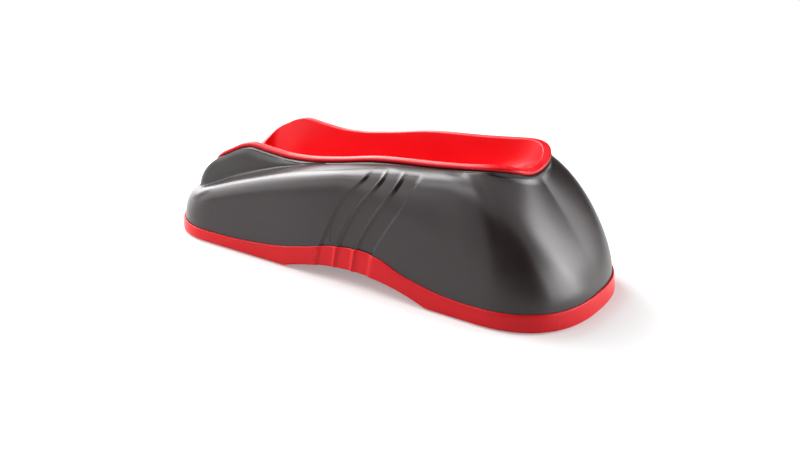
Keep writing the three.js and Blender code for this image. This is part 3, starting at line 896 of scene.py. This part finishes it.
# %% [markdown]
# The ribs and columns beneath the trough are cut the same way: a volume 8 mm deeper than the
# trough limits the ribs, and a volume that fills the trough takes away what stands above it.

# %% Ribs and screw columns under the trough
liner_rib_x = lengthwise(-0.772, -0.415, -0.214, 0, 0.214)
liner_rib_depth = 0.008
column_radius = 0.0052
column_root = 0.0062


def trough_volume(name, grow, rise):
    rows = [trough_row(stations, w, d, grow) for w, d in trough_shares]
    return closed_volume(name, [*rows, rim_point(stations, channel_inset - grow, rise)])


rib_forms = []
for x in liner_rib_x:
    foot = float(seat_height(x)) - cradle_wall - liner_rib_depth
    sides = (-channel_half, channel_half)
    rib_forms.append(box(thickness(x, rib_thick), sides, (foot, rim_top), 0))
rib_forms = boolean(united(rib_forms), trough_volume("rib_zone", liner_rib_depth, 0), "INTERSECT")
column_forms = []
for spot in column_spots:
    root = float(seat_height(spot[0]))
    column_forms.append(
        post(spot, column_radius, cup_top + fit_gap, root, column_root, soft_edge)
    )
under_forms = boolean(rib_forms, united(column_forms), "UNION")
above = trough_volume("above_the_trough", cradle_wall / 2, channel_top)
boolean(liner, boolean(under_forms, above, "DIFFERENCE"), "UNION")
for spot in column_spots:
    boolean(liner, pilot_bore(spot), "DIFFERENCE")
finish_piece(liner, red, "red_moulding", 30, "cradle_liner")

# %% [markdown]
# The base band is a ring whose section has a rounded bead at the floor, a face that carries
# on the flutes, a lip over the shell's edge, a ledge behind it and a flange turned inwards.

# %% Base band
flange_width = 0.018
floor_round = 0.0016
top_round = 0.0006
ledge_room = 0.0005
ledge = band_proud + shell_wall + ledge_room
lip_inside = band_proud - fit_gap
band_flute = 0.6   # the band is pressed in by this share of a flute's depth

quarter = np.linspace(0, math.pi / 2, 7)
band_section = [
    (floor_round * (1 - math.sin(turn)), 0, floor_round * (1 - math.cos(turn)), 1)
    for turn in quarter
]
band_section += [(0, share, 0, 1) for share in (0.35, 0.6, 0.8)]
band_section += [
    (top_round * (1 - math.cos(turn)), 1, -top_round * (1 - math.sin(turn)), 1)
    for turn in quarter
]
band_section += [
    (lip_inside, 1, 0, 1), (lip_inside, 1, -band_lap, 1), (ledge, 1, -band_lap, 0),
    (ledge, 0, flange_thick, 0), (flange_width, 0, flange_thick, 0), (flange_width, 0, 0, 0),
]


def band_row(s, inset, edge_share, rise, flute_share):
    x = outline(s, base_outline)[0]
    z = mix(band_bottom(x), band_top(x), edge_share) + rise
    row = wall_point(s, z, inset)
    row[:, 1] += flute_depth_at(s, 0 * s) * band_flute * flute_share
    return row


band_rows = [band_row(stations, *numbers) for numbers in band_section]
band = moulding("base_band_moulding", [*band_rows, band_rows[0]])

# %% [markdown]
# Two ribbed bars cross the ring under the liner's columns. Every screw sits in a cup whose
# bore is stepped, wide for the head and narrow for the shank, and every foot in a recess.

# %% Cross bars, screw cups and foot recesses
head_radius = 0.0034
head_height = 0.0022
cup_wall = 0.0017
cup_floor = 0.0022
bar_half_width = 0.012
bar_lap = 0.003
bar_reach = half_width - flange_width + bar_lap
bar_rib_thick = 0.0024
bar_rib_height = 0.007
bar_top = pad_proud + flange_thick
foot_long, foot_wide, foot_sink = 0.024, 0.009, 0.0016
foot_inset = 0.0085
foot_x = lengthwise(-0.635, 0.682)
foot_spots = [(spot, False) for x in foot_x for spot in pair_at(x, foot_inset)]
foot_spots += [((x, 0), True) for x in (foot_inset - half_length, half_length - foot_inset)]


def set_down(piece, spot, height, turned):
    turn = Matrix.Rotation(math.pi / 2 if turned else 0, 4, "Z")
    piece.data.transform(Matrix.Translation((*spot, height)) @ turn)


def round_ended(spot, turned, long, wide, low, high):
    """An upright pad with round ends: a cylinder whose two halves are moved apart."""
    deselect()
    bpy.ops.mesh.primitive_cylinder_add(
        vertices=round_sides, radius=wide / 2, depth=high - low, location=(0, 0, 0),
        rotation=(0, 0, math.pi / round_sides),
    )
    piece = bpy.context.object
    bpy.ops.object.transform_apply(location=True, rotation=True, scale=True)
    for side in (-1, 1):
        for vertex in piece.data.vertices:
            vertex.select = vertex.co.x * side > 0
        for face in piece.data.polygons:
            face.select = False
        bpy.ops.object.mode_set(mode="EDIT")
        bpy.ops.mesh.select_mode(type="VERT")
        bpy.ops.transform.translate(value=(side * (long - wide) / 2, 0, 0))
        bpy.ops.mesh.select_all(action="DESELECT")
        bpy.ops.object.mode_set(mode="OBJECT")
    set_down(piece, spot, (low + high) / 2, turned)
    return piece


bars = []
for x in column_x:
    low_side, high_side = x - bar_half_width, x + bar_half_width
    sides = (-bar_reach, bar_reach)
    bars.append(box((low_side, high_side), sides, (pad_proud, bar_top)))
    for start in (low_side, high_side - bar_rib_thick):
        across = (start, start + bar_rib_thick)
        bars.append(box(across, sides, (pad_proud, bar_top + bar_rib_height)))
boolean(band, united(bars), "UNION")
for spot in screw_spots + column_spots:
    cup = post(spot, head_radius + fit_gap + cup_wall, pad_proud, cup_top, None, soft_edge)
    boolean(band, cup, "UNION")
for spot in screw_spots + column_spots:
    boolean(band, post(spot, head_radius + fit_gap, -cut_over, cup_top - cup_floor), "DIFFERENCE")
    boolean(band, post(spot, shank_radius + fit_gap, -cut_over, cup_top + cut_over), "DIFFERENCE")
for spot, turned in foot_spots:
    long, wide = foot_long + 2 * fit_gap, foot_wide + 2 * fit_gap
    recess = round_ended(spot, turned, long, wide, -cut_over, pad_proud + foot_sink)
    boolean(band, recess, "DIFFERENCE")
finish_piece(band, red, "red_moulding", 30, "base_band")

# %% [markdown]
# The feet are rubber pads pressed into the flange's recesses. A pad is a stretched cylinder
# with rounded edges, and narrow grooves across its sole give it its tread. The grooves
# could be bump in the material, but the sole is seen from close by when the block is turned
# over, so they are cut.

# %% Rubber feet
tread_pitch = 0.003
tread_width = 0.0009
tread_depth = 0.0006
tread_places = [i * tread_pitch for i in range(-3, 4)]
foot_soft = 0.0005
foot_top = pad_proud + foot_sink - fit_gap
centre = (0, 0)

for number, (spot, turned) in enumerate(foot_spots, 1):
    foot = round_ended(centre, False, foot_long, foot_wide, 0, foot_top)
    soften(foot, foot_soft, segments=3, degrees=60)
    for place in tread_places:
        across = thickness(place, tread_width)
        groove = box(across, (-foot_wide, foot_wide), (-tread_depth, tread_depth), 0)
        boolean(foot, groove, "DIFFERENCE")
    set_down(foot, spot, 0, turned)
    foot.name = foot.data.name = f"tread_foot_{number}"
    finish_piece(foot, rubber, "rubber_pad", 30, f"rubber_foot_{number}")

# %% [markdown]
# Twelve zinc-plated pan-head screws hold the mouldings together. One is modelled on the
# axis and copied. Its thread could be a texture, but a Screw modifier turns a small
# triangle round the shank in seconds, and its open ends are filled before it is joined on.

# %% Pan-head screw
core_radius = 0.0011
thread_pitch = 0.0013
thread_turns = 8
thread_base = 0.00042
thread_start = 0.0006
thread_sink = 0.0001   # how far the thread reaches into the core
thread_steps = 24
thread_merge = 1e-7
point_start = 0.0111
point_radius = 0.0001
screw_length = 0.014
head_soft = 0.0008
head_sink = 0.0005   # how far the shank reaches into the head


def make_thread():
    deselect()
    bpy.ops.mesh.primitive_circle_add(vertices=3, radius=thread_base / 2, location=(0, 0, 0))
    thread = bpy.context.object
    inside = core_radius - thread_sink
    corners = [
        (inside, thread_start - thread_base / 2), (shank_radius, thread_start),
        (inside, thread_start + thread_base / 2),
    ]
    for vertex, (x, z) in zip(thread.data.vertices, corners):
        vertex.co = (x, 0, z)
    helix = thread.modifiers.new("helix", "SCREW")
    helix.axis = "Z"
    helix.screw_offset = thread_pitch
    helix.iterations = thread_turns
    helix.steps = helix.render_steps = thread_steps
    apply_all(thread)
    bpy.ops.object.mode_set(mode="EDIT")
    bpy.ops.mesh.select_all(action="SELECT")
    bpy.ops.mesh.remove_doubles(threshold=thread_merge)
    bpy.ops.mesh.select_all(action="SELECT")
    bpy.ops.mesh.fill_holes(sides=3)
    bpy.ops.mesh.select_all(action="SELECT")
    bpy.ops.mesh.normals_make_consistent(inside=False)
    bpy.ops.object.mode_set(mode="OBJECT")
    return thread


screw = soften(post(centre, head_radius, -head_height, 0), head_soft, segments=5)
boolean(screw, post(centre, core_radius, -head_sink, point_start), "UNION")
boolean(screw, post(centre, core_radius, point_start, screw_length, point_radius), "UNION")
boolean(screw, make_thread(), "UNION")
slot_long, slot_wide, slot_deep, slot_soft = 0.0021, 0.00045, 0.0012, 0.0001
slot_height = thickness(-head_height, 2 * slot_deep)
for x, y in ((slot_long, slot_wide), (slot_wide, slot_long)):
    boolean(screw, box((-x, x), (-y, y), slot_height, slot_soft), "DIFFERENCE")
print("one screw's faces:", len(screw.data.polygons))

# %% [markdown]
# Every screw is a copy with a mesh of its own, carried to its seat, because the library
# wants each piece to stand alone.

# %% Screws in their places
seat = cup_top - cup_floor - fit_gap
places = [(f"shell_screw_{i}", spot) for i, spot in enumerate(screw_spots, 1)]
places += [(f"cradle_screw_{i}", spot) for i, spot in enumerate(column_spots, 1)]
for name, spot in places:
    copy = bpy.data.objects.new(f"threaded_{name}", screw.data.copy())
    copy.data.name = copy.name
    bpy.context.scene.collection.objects.link(copy)
    copy.data.transform(Matrix.Translation((*spot, seat)))
    finish_piece(copy, zinc, "zinc_screw", 30, name)
bpy.data.objects.remove(screw)

# %% [markdown]
# The photograph is a studio picture on white. The world is white to the camera, and the
# floor takes the block's shadow. A huge white plane would turn grey where the light falls
# off, so the floor fades into the white world instead. From beneath the camera sees
# through it, so that the underside can be looked at.

# %% Floor and world
def camera_mask(tree):
    path = tree.nodes.new("ShaderNodeLightPath")
    seen = sums(tree, "MAXIMUM", path.outputs["Is Camera Ray"], path.outputs["Is Glossy Ray"])
    return sums(tree, "MAXIMUM", seen, path.outputs["Is Transmission Ray"])


def mixed(tree, mask, first, second):
    node = tree.nodes.new("ShaderNodeMixShader")
    for socket, source in zip(node.inputs, (mask, first, second)):
        tree.links.new(source, socket)
    return node.outputs[0]


def light_shader(tree, kind, strength):
    node = tree.nodes.new(kind)
    node.inputs["Color"].default_value = (1, 1, 1, 1)
    node.inputs["Strength"].default_value = strength
    return node.outputs[0]


def matte(name, grey):
    material, tree, shader = new_material(name)
    shader.inputs["Base Color"].default_value = (grey, grey, grey, 1)
    shader.inputs["Roughness"].default_value = 1.0
    shader.inputs["Specular IOR Level"].default_value = 0.0
    return material, tree, shader


floor_size = 6.0
floor_fade = (0.5, 1.0)   # the floor fades into the white world between these distances
deselect()
bpy.ops.mesh.primitive_plane_add(size=floor_size, location=(0, 0, 0))
floor = bpy.context.object
floor.name = "studio_floor"
floor_material, tree, shader = matte("studio_white", 0.72)
nothing = light_shader(tree, "ShaderNodeEmission", 0.0)
glow = light_shader(tree, "ShaderNodeEmission", 0.3)
total = tree.nodes.new("ShaderNodeAddShader")
tree.links.new(shader.outputs[0], total.inputs[0])
tree.links.new(mixed(tree, camera_mask(tree), nothing, glow), total.inputs[1])
facing = tree.nodes.new("ShaderNodeNewGeometry")
place = tree.nodes.new("ShaderNodeTexCoord")
reach = tree.nodes.new("ShaderNodeVectorMath")
reach.operation = "LENGTH"
tree.links.new(place.outputs["Object"], reach.inputs[0])
unseen = sums(
    tree, "MAXIMUM", facing.outputs["Backfacing"], ramp(tree, reach.outputs["Value"], *floor_fade),
)
camera_ray = tree.nodes.new("ShaderNodeLightPath").outputs["Is Camera Ray"]
clear = tree.nodes.new("ShaderNodeBsdfTransparent").outputs[0]
surface = mixed(tree, sums(tree, "MULTIPLY", unseen, camera_ray), total.outputs[0], clear)
tree.links.new(surface, tree.nodes["Material Output"].inputs["Surface"])
floor.data.materials.append(floor_material)

world = bpy.data.worlds.new("studio_world")
bpy.context.scene.world = world
world.use_nodes = True
tree = world.node_tree
tree.nodes.remove(tree.nodes["Background"])
ambient = light_shader(tree, "ShaderNodeBackground", 0.05)
backdrop = light_shader(tree, "ShaderNodeBackground", 1.0)
surface = mixed(tree, camera_mask(tree), ambient, backdrop)
tree.links.new(surface, tree.nodes["World Output"].inputs["Surface"])
print("floor, metres:", floor_size, "world:", world.name)

# %% [markdown]
# A glossy form shows its lights, so the soft boxes stand where the photograph's reflections
# point to. A bank at the left and rear gives the white line along the shoulder's ridge, a
# weak one in front lifts the long wall, and a low bank at the right gives the bright corner
# of the dome. A picture of a studio could light it too, but boxes can be moved one by one.

# %% Soft boxes
box_size = 0.53
box_distance = 1.2
box_target = Vector((0, 0, 0.05))


def direction(azimuth, elevation=0.0):
    turn, rise = math.radians(azimuth), math.radians(elevation)
    flat = math.cos(rise)
    return Vector((math.sin(turn) * flat, -math.cos(turn) * flat, math.sin(rise)))


def soft_box(name, azimuth, elevation, radiance):
    light = bpy.data.lights.new(name, "AREA")
    light.shape = "RECTANGLE"
    light.size = light.size_y = box_size
    light.energy = radiance * math.pi * box_size * box_size
    lamp = bpy.data.objects.new(name, light)
    bpy.context.scene.collection.objects.link(lamp)
    aim = direction(azimuth, elevation)
    lamp.location = aim * box_distance + box_target
    lamp.rotation_euler = aim.to_track_quat("Z", "Y").to_euler()


# each box: azimuth from -Y towards +X, elevation, radiance
banks = {
    "rear_left": [(-115, 36, 10.5), (-98, 56, 10.0), (-115, 12, 4.5), (-140, 6, 3.0)],
    "left": [(-90, 36, 5.0), (-65, 36, 4.0), (-65, 12, 2.0)],
    "front_left": [(-40, 20, 2.2), (-30, 58, 3.4)],
    "right": [(118, 4, 6.2), (133, 20, 5.0), (95, 4, 4.5), (120, 26, 2.0)],
}
for bank, boxes in banks.items():
    for number, numbers in enumerate(boxes, 1):
        soft_box(f"{bank}_{number}", *numbers)
    print(bank, "boxes:", len(boxes))

# %% [markdown]
# Between the banks the front and the rear stay dark. Studios stand black cards there, and so
# does this scene. Only reflections see the cards: not the camera, and they cast no shadow.

# %% Black cards
black_felt = matte("black_felt", 0.004)[0]
card_distance = 1.45
card_height = 1.5


def black_card(name, azimuth, width):
    aim = direction(azimuth)
    deselect()
    bpy.ops.mesh.primitive_plane_add(size=1)
    card = bpy.context.object
    card.name = name
    card.data.transform(Matrix.Diagonal((width, card_height, 1, 1)))
    card.data.transform(aim.to_track_quat("Z", "Y").to_matrix().to_4x4())
    middle = aim * card_distance + Vector((0, 0, card_height / 2))
    card.data.transform(Matrix.Translation(middle))
    card.data.materials.append(black_felt)
    card.visible_camera = False
    card.visible_diffuse = False
    card.visible_shadow = False


black_card("front_card", 36, 2.5)
black_card("rear_card", 180, 1.7)

bpy.context.scene.view_settings.view_transform = "Standard"
